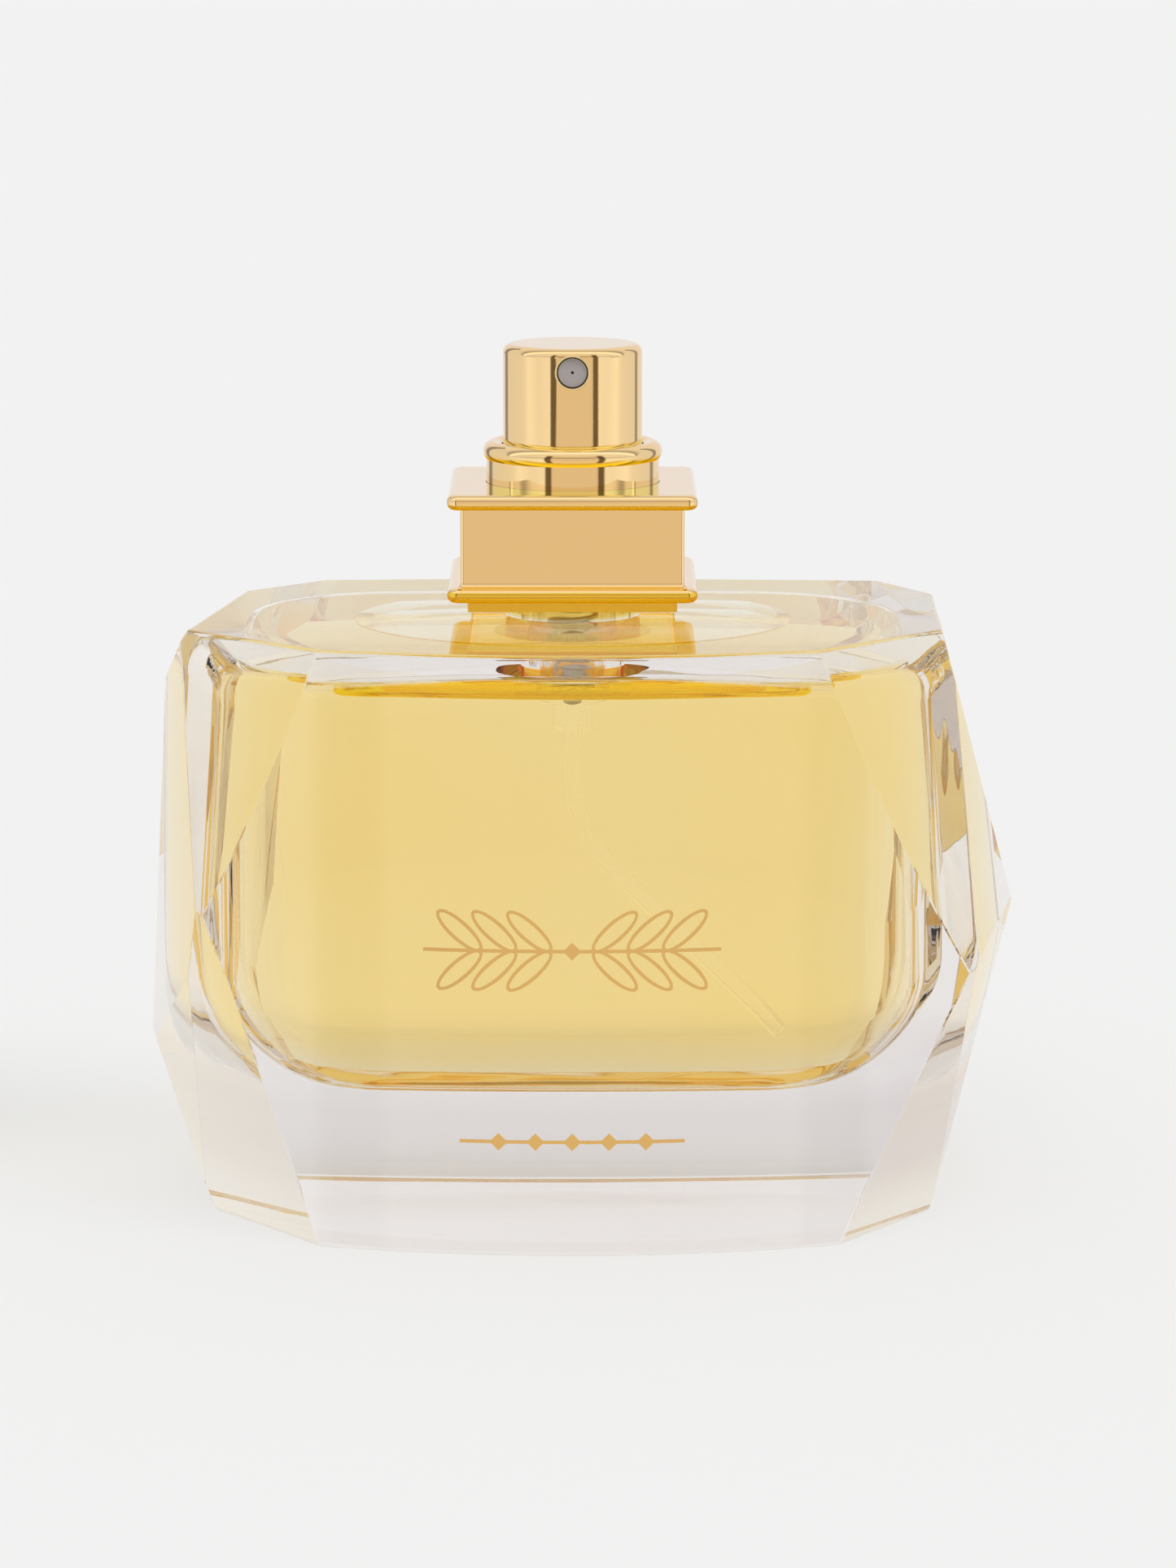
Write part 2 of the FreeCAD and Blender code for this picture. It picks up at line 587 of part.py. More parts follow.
def pump_body_parts():
    turned("pump_housing", [
        ("housing_bore", "housing_flange_top"), ("flange_radius", "housing_flange_top"),
        ("flange_radius", "neck_top + gasket_thick"),
        ("housing_radius", "neck_top + gasket_thick"), ("housing_radius", "housing_end"),
        ("tail_radius", "tail_top"), ("tail_radius", "tail_end"), ("socket_bore", "tail_end"),
        ("socket_bore", "socket_top"), ("inlet_bore", "socket_top"),
        ("inlet_bore", "seat_low"), ("ball_bore", "seat_high"), ("ball_bore", "lip_low"),
        ("ball_lip", "lip_low"), ("ball_lip", "spring_seat"), ("housing_bore", "spring_seat")])
    turned("pump_turret", [
        ("turret_recess", "housing_flange_top"), ("flange_radius", "housing_flange_top"),
        ("flange_radius", "turret_flange_top"), ("turret_radius", "turret_flange_top"),
        ("turret_radius", "turret_top"), ("turret_bore", "turret_top"),
        ("turret_bore", "recess_top"), ("turret_recess", "recess_top")])
    turned("stem_seal", [
        ("seal_bore", "seal_bottom"), ("seal_radius", "seal_bottom"),
        ("seal_radius", "seal_top"), ("seal_bore", "seal_top")])
    ball = new_body("inlet_ball")
    primitive(ball, "AdditiveSphere", "ball", height="ball_height", Radius="ball_radius")
    coil("return_spring", "return_coil", "return_wire", "return_turns", "spring_seat",
         "return_top")


def plunger_parts():
    turned("pump_stem", [
        ("stem_bore", "stem_bottom"), ("stem_radius", "stem_bottom"),
        ("stem_radius", "stem_flange_low"), ("stem_flange", "stem_flange_low"),
        ("stem_flange", "stem_flange_high"), ("stem_radius", "stem_flange_high"),
        ("stem_radius", "stem_top"), ("stem_bore", "stem_top")])
    rod = turned("piston_rod", [
        ("0", "rod_bottom"), ("rod_tail", "rod_bottom"), ("rod_tail", "rod_head_low"),
        ("rod_head", "rod_head_low"), ("rod_head", "rod_head_high"),
        ("rod_cone", "rod_cone_top"), ("rod_radius", "rod_cone_top"),
        ("rod_radius", "rod_top"), ("0", "rod_top")])
    for side in (1, -1):
        flat = primitive(rod, "SubtractiveBox", "rod_flat_front" if side < 0 else "rod_flat_back",
                         height="rod_cone_top", Length="2", Width="1",
                         Height="rod_top - rod_cone_top")
        flat.setExpression("AttachmentOffset.Base.x", "-1")
        flat.setExpression("AttachmentOffset.Base.y",
                           "dims.rod_flat" if side > 0 else "-dims.rod_flat - 1")
    turned("piston", [
        ("piston_bore", "piston_low"), ("piston_radius", "piston_low"),
        ("piston_radius", "piston_low + piston_lip"),
        ("piston_waist", "piston_low + piston_lip"),
        ("piston_waist", "piston_high - piston_lip"),
        ("piston_radius", "piston_high - piston_lip"), ("piston_radius", "piston_high"),
        ("piston_bore", "piston_high")])
    coil("precompression_spring", "small_coil", "small_wire", "small_turns", "small_low",
         "small_top")


# ---- collar and ring -------------------------------------------------------------------------

def reaches(shape, edge_name, distance):
    """Whether an edge reaches at least this far from the axis on one side."""
    box = shape.getElement(edge_name).BoundBox
    return max(-box.XMin, box.XMax, -box.YMin, box.YMax) > distance


def square_collar():
    """Square shell: plinth, rounded bead, plain block and rounded bead again."""
    body = new_body("square_collar")
    square_block(body, "plinth", "AdditiveBox", "plinth_half", "plinth_low", "plinth_high")
    square_block(body, "lower_bead", "AdditiveBox", "bead_half", "plinth_high", "bead_high")
    square_block(body, "block", "AdditiveBox", "block_half", "bead_high", "block_high")
    square_block(body, "upper_bead", "AdditiveBox", "bead_half", "block_high", "collar_top")
    doc.recompute()

    def corners(half):
        """Upright edges at the corners of the squares of one size."""
        return edges_where(body.Tip.Shape, lambda box: box.ZLength > 0.5
                           and abs(abs(box.Center.x) - value(half)) < 1e-3
                           and abs(abs(box.Center.y) - value(half)) < 1e-3)

    rounded(body, "bead_corners", corners("bead_half"), "bead_corner")
    rounded(body, "block_corners", corners("block_half"), "block_corner")
    rounded(body, "plinth_corners", corners("plinth_half"), "block_corner")
    shape = body.Tip.Shape
    cove = [name for name in level_edges(shape, value("bead_high"))
            if not reaches(shape, name, value("block_half") + 0.1)]
    rounded(body, "cove", cove, "cove_round")
    rims = [name for height in ("plinth_high", "bead_high", "block_high", "collar_top")
            for name in level_edges(body.Tip.Shape, value(height))
            if reaches(body.Tip.Shape, name, value("bead_half") - 0.1)]
    rounded(body, "bead_round", rims, "bead_round")
    square_block(body, "collar_hollow", "SubtractiveBox", "collar_inside", "plinth_low - 1",
                 "collar_ceiling")
    primitive(body, "SubtractiveCylinder", "collar_mouth", height="collar_ceiling - 1",
              Radius="collar_hole", Height="collar_top - collar_ceiling + 2")


def collar_liner():
    body = new_body("collar_liner")
    square_block(body, "liner_block", "AdditiveBox", "liner_half", "liner_low", "liner_high")
    primitive(body, "SubtractiveCylinder", "liner_mouth", height="liner_low - 1",
              Radius="liner_bore", Height="liner_high - liner_low + 2")


def ring_cover():
    """Round ring round the actuator: hidden flange, sleeve and a bead on top."""
    body = turned("ring_cover", [
        ("0", "ring_low"), ("ring_flange", "ring_low"), ("ring_flange", "ring_flange_high"),
        ("ring_radius", "ring_flange_high"), ("ring_radius", "ring_bead_height"),
        ("0", "ring_bead_height")])
    primitive(body, "AdditiveTorus", "ring_bead", height="ring_bead_height",
              Radius1="ring_bead_mean", Radius2="ring_bead_radius")
    primitive(body, "SubtractiveCylinder", "ring_mouth", height="ring_low - 1",
              Radius="ring_bore", Height="ring_bead_height - ring_low + 4")


# ---- actuator --------------------------------------------------------------------------------

def nozzle_cylinder(body, kind, name, radius, height, front, back):
    """Cylinder feature along Y between two depths in front of the axis."""
    feature = body.newObject("PartDesign::" + kind, name)
    feature.AttachmentSupport = (origin_plane(body, "XZ_Plane"), [""])
    feature.MapMode = "FlatFace"
    bind(feature, Radius=radius)
    feature.setExpression("Height", f"{formula(front)} - {formula(back)}")
    feature.setExpression("AttachmentOffset.Base.y", formula(height))
    feature.setExpression("AttachmentOffset.Base.z", formula(back))
    return feature


def actuator_parts():
    shell = turned("actuator_shell", [
        ("cap_radius - cap_wall", "cap_low"), ("cap_radius", "cap_low"),
        ("cap_radius", "cap_high"), ("0", "cap_high"), ("0", "cap_high - cap_roof"),
        ("cap_radius - cap_wall", "cap_high - cap_roof")])
    radius, height = value("cap_radius"), value("cap_high")
    rounded(shell, "cap_edge_round", edges_where(shell.Tip.Shape, lambda box:
            abs(box.ZMin - height) < 1e-3 and abs(box.XMax - radius) < 1e-3), "cap_edge")
    nozzle_cylinder(shell, "SubtractiveCylinder", "cap_window", "cap_hole", "nozzle_height",
                    "cap_radius + 1", "core_radius - 3")

    core = turned("actuator_core", [
        ("core_skirt", "core_low"), ("core_radius", "core_low"),
        ("core_radius", "core_high - cap_edge"), ("core_radius - cap_edge", "core_high"),
        ("0", "core_high"), ("0", "core_socket_top"), ("core_socket", "core_socket_top"),
        ("core_socket", "core_boss_low"), ("core_skirt", "core_boss_low")])
    primitive(core, "SubtractiveCylinder", "core_up_duct", height="core_socket_top - 0.5",
              Radius="core_duct", Height="core_duct_top - core_socket_top + 0.5")
    nozzle_cylinder(core, "SubtractiveCylinder", "nozzle_recess", "recess_radius",
                    "nozzle_height", "cap_radius", "recess_back")
    nozzle_cylinder(core, "AdditiveCylinder", "swirl_post", "post_radius", "nozzle_height",
                    "post_front", "recess_back - 0.5")
    nozzle_cylinder(core, "SubtractiveCylinder", "core_cross_duct", "cross_duct",
                    "cross_duct_height", "recess_back + 0.3", "0")

    insert = new_body("spray_insert")
    nozzle_cylinder(insert, "AdditiveCylinder", "insert_plug", "insert_radius",
                    "nozzle_height", "insert_front", "insert_back")
    nozzle_cylinder(insert, "SubtractiveCylinder", "insert_cup", "insert_cup",
                    "nozzle_height", "insert_front - insert_wall", "insert_back - 1")
    nozzle_cylinder(insert, "SubtractiveCylinder", "spray_hole", "orifice", "nozzle_height",
                    "insert_front + 1", "insert_back")


NODES = [
    "glass_bottle", "perfume", "sprig_print", "base_print", "neck_gasket", "crimp_ferrule",
    "pump_housing", "pump_turret", "stem_seal", "inlet_ball", "return_spring",
    "precompression_spring", "piston", "piston_rod", "pump_stem", "dip_tube", "square_collar",
    "collar_liner", "ring_cover", "actuator_shell", "actuator_core", "spray_insert",
]


def build():
    fill_sheet()
    glass_bottle()
    perfume()
    sprig_print()
    base_print()
    crimp_parts()
    pump_body_parts()
    plunger_parts()
    swept_tube("dip_tube", ["tube_radius", "tube_bore"])
    square_collar()
    collar_liner()
    ring_cover()
    actuator_parts()
    doc.recompute()


def export():
    """Check every object, then write one STEP file per node."""
    for item in doc.Objects:
        if "Invalid" in item.State or "Error" in item.State:
            raise RuntimeError(f"{item.Label}: {item.State}")
    os.makedirs("parts", exist_ok=True)
    for label in NODES:
        node = doc.getObjectsByLabel(label)[0]
        if node.Shape.isNull() or not node.Shape.isValid() or not node.Shape.Solids:
            raise RuntimeError(f"{label}: no valid solid")
        node.Shape.exportStep(f"parts/{label}.step")
        print(f"{label}: {len(node.Shape.Solids)} solid, {node.Shape.Volume:.1f} mm3")


build()
export()
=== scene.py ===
import math

import bmesh
import bpy
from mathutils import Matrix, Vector


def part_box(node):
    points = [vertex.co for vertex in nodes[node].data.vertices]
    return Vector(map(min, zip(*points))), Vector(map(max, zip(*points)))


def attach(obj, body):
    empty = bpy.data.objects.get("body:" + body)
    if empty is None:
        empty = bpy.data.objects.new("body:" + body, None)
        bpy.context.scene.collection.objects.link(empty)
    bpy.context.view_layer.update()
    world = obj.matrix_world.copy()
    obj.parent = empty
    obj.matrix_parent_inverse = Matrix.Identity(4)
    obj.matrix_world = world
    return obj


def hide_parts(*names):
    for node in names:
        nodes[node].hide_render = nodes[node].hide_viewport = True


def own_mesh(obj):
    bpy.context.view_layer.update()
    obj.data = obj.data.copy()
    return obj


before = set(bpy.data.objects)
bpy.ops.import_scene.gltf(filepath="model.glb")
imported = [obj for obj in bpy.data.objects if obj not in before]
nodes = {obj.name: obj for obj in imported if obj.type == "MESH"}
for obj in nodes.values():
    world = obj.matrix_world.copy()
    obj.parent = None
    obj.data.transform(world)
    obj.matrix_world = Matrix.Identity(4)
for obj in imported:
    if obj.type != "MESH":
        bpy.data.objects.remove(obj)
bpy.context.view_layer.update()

# Looks for the faceted perfume bottle. Metres, +Z up, front towards -Y.

MM = 0.001
scene = bpy.context.scene


def middle(node):
    """Middle of a CAD node's box."""
    low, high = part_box(node)
    return (low + high) / 2


GLASS_IOR = 1.51
LIQUID_IOR = 1.362
PLASTIC_IOR = 1.49
LIQUID_LEVEL = 54.2 * MM
ROOM_SHIFT = middle("perfume").y     # the room and its air space sit a little forward
AIR_HALF = (22 * MM, 19 * MM)        # half width and half depth of the oval air space
ROOM_CENTRE = (0, ROOM_SHIFT, 36 * MM)
FOOT_TOP = 0.3 * MM                  # points below this are on the glass foot
NECK_FOOT = 59.6 * MM                # the glass neck starts here, just over the roof
LOWER_BEAD_TOP = 63.7 * MM
COLLAR_INSIDE = (10.2 * MM, 70.5 * MM)   # half width and top of the closed space in the collar
CAP_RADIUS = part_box("actuator_shell")[1].x
NOZZLE = (0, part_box("spray_insert")[0].y, middle("spray_insert").z)   # middle of its face
INSERT_SHADE = 1.9 * MM              # reach of the shade round the spray insert
PAPER = 0.888                        # brightness of the seamless background
SKY = 0.545                          # soft light from all round on matt surfaces
LAST_BEND = 15.5                     # rays bent more often than this end in a glow
WHITE = (1, 1, 1, 1)


# ---------------------------------------------------------------- shader helpers
class Tree:
    """Adds shader nodes to one node tree and joins them."""

    def __init__(self, tree):
        tree.nodes.clear()
        self.nodes, self.links = tree.nodes, tree.links

    def add(self, kind, sockets=None, **settings):
        """A shader node: sockets holds input values or the sockets that feed them."""
        node = self.nodes.new("ShaderNode" + kind)
        for name, value in settings.items():
            setattr(node, name, value)
        for name, value in (sockets or {}).items():
            self.feed(node.inputs[name], value)
        return node

    def feed(self, socket, value):
        if isinstance(value, bpy.types.NodeSocket):
            self.links.new(value, socket)
        else:
            socket.default_value = value

    def maths(self, operation, first, second=0.0, third=0.0):
        sockets = {0: first, 1: second, 2: third}
        return self.add("Math", sockets, operation=operation).outputs[0]

    def position(self):
        """The shaded point's X, Y and Z."""
        return self.parts(self.add("NewGeometry").outputs["Position"])

    def parts(self, vector):
        outputs = self.add("SeparateXYZ", {0: vector}).outputs
        return tuple(outputs[axis] for axis in "XYZ")

    def rise(self, value, start, end):
        """0 at start, 1 at end, level beyond both."""
        node = self.add("MapRange", {"Value": value, "From Min": start, "From Max": end})
        return node.outputs["Result"]

    def bump(self, height, depth, **settings):
        """Normal bent by a height between 0 and 1 over a depth in metres."""
        return self.add("Bump", {"Strength": 1.0, "Distance": depth, "Height": height, **settings})

    def mix(self, share, low, high):
        """Number between low and high."""
        node = self.add("Mix", {"Factor": share, "A": low, "B": high}, data_type="FLOAT")
        return node.outputs["Result"]

    def tint(self, share, low, high):
        """Colour between low and high."""
        node = self.add("Mix", data_type="RGBA")
        self.feed(node.inputs["Factor"], share)
        self.feed(node.inputs[6], low)
        self.feed(node.inputs[7], high)
        return node.outputs[2]

    def times(self, first, second):
        """Product of two colours."""
        node = self.add("Mix", {"Factor": 1.0}, data_type="RGBA", blend_type="MULTIPLY")
        self.feed(node.inputs[6], first)
        self.feed(node.inputs[7], second)
        return node.outputs[2]

    def blend(self, share, low, high):
        """Shader between low and high."""
        return self.add("MixShader", {0: share, 1: low, 2: high}).outputs[0]

    def noise(self, scale, detail=2.0, stretch=(1, 1, 1)):
        """Noise in the piece's own space, from 0 to 1."""
        place = self.add("TexCoord").outputs["Object"]
        place = self.add("Mapping", {"Vector": place, "Scale": stretch}).outputs["Vector"]
        node = self.add("TexNoise", {"Vector": place, "Scale": scale, "Detail": detail})
        return node.outputs["Fac"]

    def ramp(self, place, stops):
        """Colour ramp: stops are (position, brightness or colour)."""
        node = self.add("ValToRGB", {"Fac": place})
        band = node.color_ramp
        while len(band.elements) > 1:
            band.elements.remove(band.elements[-1])
        for number, (position, color) in enumerate(stops):
            stop = band.elements[0] if number == 0 else band.elements.new(position)
            stop.position = position
            stop.color = (*color, 1) if isinstance(color, tuple) else (color, color, color, 1)
        return node.outputs["Color"]

    def surface(self, shader, volume=None):
        out = self.add("OutputMaterial", {"Surface": shader})
        if volume is not None:
            self.feed(out.inputs["Volume"], volume)


def new_tree(name):
    mat = bpy.data.materials.new(name)
    mat.use_nodes = True
    return mat, Tree(mat.node_tree)


def paint(mat, *names):
    for name in names:
        materials = nodes[name].data.materials
        materials.clear()
        materials.append(mat)


def lighting_ray(tree):
    """1 for the rays that gather light on matt surfaces, which pass clear pieces unbent."""
    path = tree.add("LightPath").outputs
    return tree.maths("MAXIMUM", path["Is Shadow Ray"], path["Is Diffuse Ray"])


def light_through(tree, shader, shadow_tint, glow):
    """Clear pieces: light passes them with a tint, and long inner paths end in a pale glow."""
    path = tree.add("LightPath")
    passing = tree.add("BsdfTransparent", {"Color": (*shadow_tint, 1)}).outputs[0]
    shader = tree.blend(lighting_ray(tree), shader, passing)
    late = tree.maths("GREATER_THAN", path.outputs["Ray Depth"], LAST_BEND)
    # near the neck, the glow is that of the gold round it
    neck = tree.rise(tree.position()[2], 56 * MM, 61 * MM)
    glow = tree.tint(neck, (*glow, 1), (0.52, 0.36, 0.07, 1))
    ending = tree.add("Emission", {"Color": glow, "Strength": 1.0}).outputs[0]
    return tree.blend(late, shader, ending)


def oval(tree, centre, halves):
    """Below 1 inside an upright oval column, above 1 outside it."""
    squares = []
    for place, middle, half in zip(tree.position(), centre, halves):
        away = tree.maths("DIVIDE", tree.maths("SUBTRACT", place, middle), half)
        squares.append(tree.maths("POWER", tree.maths("ABSOLUTE", away), 2.0))
    return tree.maths("ADD", *squares)


def air_ring(tree):
    """Below 1 over the oval air space, above 1 outside it."""
    return oval(tree, (0.0, ROOM_SHIFT), AIR_HALF)


def in_air_space(tree, slack=0.0):
    """1 in the oval air space over the liquid and in the neck above it."""
    inside = tree.maths("LESS_THAN", air_ring(tree), 1.0 + slack)
    above = tree.maths("GREATER_THAN", tree.position()[2], LIQUID_LEVEL - slack * MM)
    return tree.maths("MULTIPLY", inside, above)


# ---------------------------------------------------------------- clear materials
def inner_wall(tree):
    """1 on the wall of the room inside the glass, where the glass faces the room's centre."""
    place = tree.add("NewGeometry").outputs
    outward = tree.add("VectorMath", {0: place["Position"], 1: ROOM_CENTRE}, operation="SUBTRACT")
    facing = tree.add("VectorMath", {0: place["True Normal"], 1: outward.outputs["Vector"]},
                      operation="DOT_PRODUCT")
    flip = tree.maths("MULTIPLY_ADD", place["Backfacing"], -2.0, 1.0)
    return tree.maths("LESS_THAN", tree.maths("MULTIPLY", facing.outputs["Value"], flip), 0.0)


def glass_relief(tree, inner):
    """The moulded inside wall and the foot are wavy, and the polished outside is nearly flat."""
    foot = tree.maths("LESS_THAN", tree.position()[2], FOOT_TOP)
    depth = tree.mix(tree.maths("MAXIMUM", inner, foot), 0.02 * MM, 0.35 * MM)
    waves = tree.bump(tree.noise(55, 1.5, (1, 1, 0.55)), depth).outputs["Normal"]
    # the foot is slightly hollow
    ring = oval(tree, (0.0, -4 * MM), (31 * MM, 17 * MM))
    hollow = tree.maths("MAXIMUM", tree.maths("SUBTRACT", 1.0, ring), 0.0)
    hollow = tree.maths("MULTIPLY", tree.maths("POWER", hollow, 1.5), foot)
    dip = tree.bump(hollow, 1.1 * MM, Normal=waves)
    dip.invert = True
    return dip.outputs["Normal"]


def glass_tint_and_painted_light(tree, inner, wet):
    """Thick foot tinted grey and darker on the right as painted shade, soft streaks on the wetted
    wall, and a painted reflection of the gold round the neck.
    """
    across, _, height = tree.position()
    # painted shade: the foot glass is darker on the right
    right = tree.rise(across, 22 * MM, 32 * MM)
    foot_grey_shaded_right = tree.tint(right, (0.965, 0.957, 0.955, 1), (0.92, 0.90, 0.91, 1))
    level = tree.maths("DIVIDE", height, 20 * MM)
    thick = tree.ramp(level, [(0.1, 0.0), (0.35, 1.0), (0.7, 1.0), (0.85, 0.0)])
    outer = tree.maths("SUBTRACT", 1.0, inner)
    color = tree.tint(tree.maths("MULTIPLY", thick, outer), WHITE, foot_grey_shaded_right)
    streak = tree.maths("MULTIPLY", wet, tree.noise(26, 1.0, (1, 1, 1.9)))
    color = tree.times(color, tree.tint(streak, WHITE, (1.0, 0.95, 0.80, 1)))
    # painted reflection: the neck glass is tinted with the colour of the gold wrapped round it
    neck = tree.maths("GREATER_THAN", height, NECK_FOOT)
    return tree.times(color, tree.tint(neck, WHITE, (0.95, 0.81, 0.38, 1)))


def glass_material():
    """Cast glass: meets air outside and above the liquid, and liquid on the wetted wall."""
    mat, t = new_tree("clear_glass")
    inner = inner_wall(t)
    wet = t.maths("MULTIPLY", inner, t.maths("SUBTRACT", 1.0, in_air_space(t)))
    glass = t.add("BsdfGlass", {
        "Color": glass_tint_and_painted_light(t, inner, wet), "Roughness": 0.0,
        "IOR": t.mix(wet, GLASS_IOR, GLASS_IOR / LIQUID_IOR), "Normal": glass_relief(t, inner)})
    density = t.mix(lighting_ray(t), 9.0, 2.0)
    body = t.add("VolumeAbsorption", {"Color": (0.74, 0.67, 0.645, 1), "Density": density})
    t.surface(light_through(t, glass.outputs[0], (0.96, 0.96, 0.96), (0.84, 0.83, 0.82)),
              body.outputs[0])
    return mat


def liquid_material():
    """Pale yellow perfume: its free surface bends light, and its wall belongs to the glass."""
    mat, t = new_tree("perfume_liquid")
    # painted light: round the rim of the free surface, the colour that the meniscus gathers from the
    # liquid is painted on as a deep yellow tint
    rim = t.rise(air_ring(t), 0.78, 0.93)
    shade = t.tint(rim, (1.0, 0.99, 0.94, 1), (1.0, 0.78, 0.06, 1))
    ripple = t.bump(t.noise(40, 1.0), 0.12 * MM).outputs["Normal"]
    top = t.add("BsdfGlass", {
        "Color": shade, "Roughness": 0.0, "IOR": LIQUID_IOR, "Normal": ripple}).outputs[0]
    top = light_through(t, top, (1.0, 0.99, 0.94), (0.85, 0.72, 0.30))
    wall = t.add("BsdfTransparent").outputs[0]
    density = t.mix(lighting_ray(t), 25.0, 4.0)
    dye = t.add("VolumeAbsorption", {"Color": (0.985, 0.79, 0.03, 1), "Density": density})
    t.surface(t.blend(in_air_space(t, slack=0.004), wall, top), dye.outputs[0])
    return mat


def clear_plastic(name, wet_ior):
    """Natural plastic that nearly vanishes under the liquid and shows above it."""
    mat, t = new_tree(name)
    below = t.maths("LESS_THAN", t.position()[2], LIQUID_LEVEL)
    ior = t.mix(below, PLASTIC_IOR, wet_ior)
    grain = t.noise(900, 2.0)
    rough = t.maths("MULTIPLY", t.mix(below, 0.25, 0.03), grain)
    bsdf = t.add("BsdfGlass", {"Roughness": rough, "IOR": ior}).outputs[0]
    t.surface(light_through(t, bsdf, (0.97, 0.97, 0.96), (0.82, 0.78, 0.62)))
    return mat


# ---------------------------------------------------------------- solid materials
def underside_painted_light(tree):
    """Where yellow light from the liquid below is painted on gold: 1 on faces that look down, and
    nearly so on the sides of the lower bead and plinth.
    """
    upward = tree.parts(tree.add("NewGeometry").outputs["Normal"])[2]
    down = tree.rise(upward, -0.05, -0.5)
    low = tree.maths("LESS_THAN", tree.position()[2], LOWER_BEAD_TOP)
    low = tree.maths("MULTIPLY", tree.maths("MULTIPLY", low, 0.85),
                     tree.maths("LESS_THAN", upward, 0.5))
    return tree.maths("MAXIMUM", down, low)


def collar_glow(tree, color):
    """Inputs for the light that the bottle sends up into the closed inside of the collar."""
    half, top = COLLAR_INSIDE
    x, y, z = tree.position()
    reach = tree.maths("MAXIMUM", tree.maths("ABSOLUTE", x), tree.maths("ABSOLUTE", y))
    inside = tree.maths("MULTIPLY", tree.maths("LESS_THAN", reach, half),
                        tree.maths("LESS_THAN", z, top))
    return {"Emission Color": (*color, 1), "Emission Strength": inside}


def metal(name, color, edge, rough, brushed=(1, 1, 1), relief=0.0015 * MM, lacquer=0.0,
          painted_yellow_light=None):
    """Plated or drawn metal with a fine grain; the optional yellow colour is light from the liquid,
    painted on its downward faces.
    """
    mat, t = new_tree(name)
    fine, broad = t.noise(2600, 3.0, brushed), t.noise(65, 2.0)
    roughness = t.maths("ADD", t.mix(fine, rough * 0.6, rough * 1.3),
                        t.mix(broad, 0.0, rough * 0.25))
    dull = tuple(c * 0.96 for c in color)
    base = t.tint(broad, (*color, 1), (*dull, 1))
    rim, coat, glow = (*edge, 1), lacquer, {}
    if painted_yellow_light:
        # painted reflection: gold seen in other gold, or through the glass, is given a yellower
        # colour than gold seen straight
        again = t.add("LightPath").outputs["Is Glossy Ray"]
        base = t.tint(again, base, (0.95, 0.82, 0.28, 1))
        # painted light: downward faces, and the sides of the lower bead and plinth, take the yellow
        # light of the liquid below
        under = underside_painted_light(t)
        base = t.tint(under, base, (*painted_yellow_light, 1))
        rim = t.tint(under, rim, (*painted_yellow_light, 1))
        coat = t.mix(under, lacquer, 0.0)
        glow = collar_glow(t, tuple(0.3 * c for c in painted_yellow_light))
    bump = t.bump(fine, relief, Strength=0.6).outputs["Normal"]
    bsdf = t.add("BsdfPrincipled", {
        "Base Color": base, "Metallic": 1.0, "Roughness": roughness, "Normal": bump,
        "Specular Tint": rim, "Coat Weight": coat, "Coat Roughness": 0.02, **glow})
    t.surface(bsdf.outputs[0])
    return mat


def moulded(tree, base, roughness, fine, glow=None):
    """Plastic or rubber surface with a fine moulded texture."""
    bump = tree.bump(fine, 0.004 * MM, Strength=0.5).outputs["Normal"]
    bsdf = tree.add("BsdfPrincipled", {
        "Base Color": base, "Roughness": roughness, "Normal": bump, **(glow or {})})
    tree.surface(bsdf.outputs[0])


def plastic(name, color, rough, glow=None):
    """Moulded plastic or rubber with a slight mottle, lit from below if it has a glow."""
    mat, t = new_tree(name)
    fine, broad = t.noise(1800, 3.0), t.noise(160, 2.0)
    dark = tuple(c * 0.88 for c in color)
    base = t.tint(broad, (*dark, 1), (*color, 1))
    roughness = t.mix(fine, rough * 0.75, min(1.0, rough * 1.25))
    moulded(t, base, roughness, fine, collar_glow(t, glow) if glow else None)
    return mat


def core_plastic():
    """White plastic that lies in shade round the spray insert."""
    mat, t = new_tree("shaded_plastic")
    place = t.add("TexCoord").outputs["Object"]
    away = t.add("VectorMath", {0: place, 1: NOZZLE}, operation="SUBTRACT")
    away = t.add("VectorMath", {0: away.outputs["Vector"]}, operation="LENGTH").outputs["Value"]
    near = t.maths("LESS_THAN", away, INSERT_SHADE)
    fine = t.noise(1500, 3.0)
    white = t.tint(fine, (0.78, 0.78, 0.75, 1), (0.82, 0.82, 0.79, 1))
    moulded(t, t.tint(near, white, (0.045, 0.03, 0.015, 1)), t.mix(fine, 0.28, 0.42), fine)
    return mat


# gold seen face on, at a grazing angle, and yellow light from the liquid painted on its downward
# faces
GOLD_FACE, GOLD_EDGE, GOLD_PAINTED_LIGHT = (0.97, 0.69, 0.33), (0.97, 0.86, 0.76), (0.95, 0.60, 0.03)
DRAWN = (1, 1, 12)      # grain of parts drawn or brushed round the axis

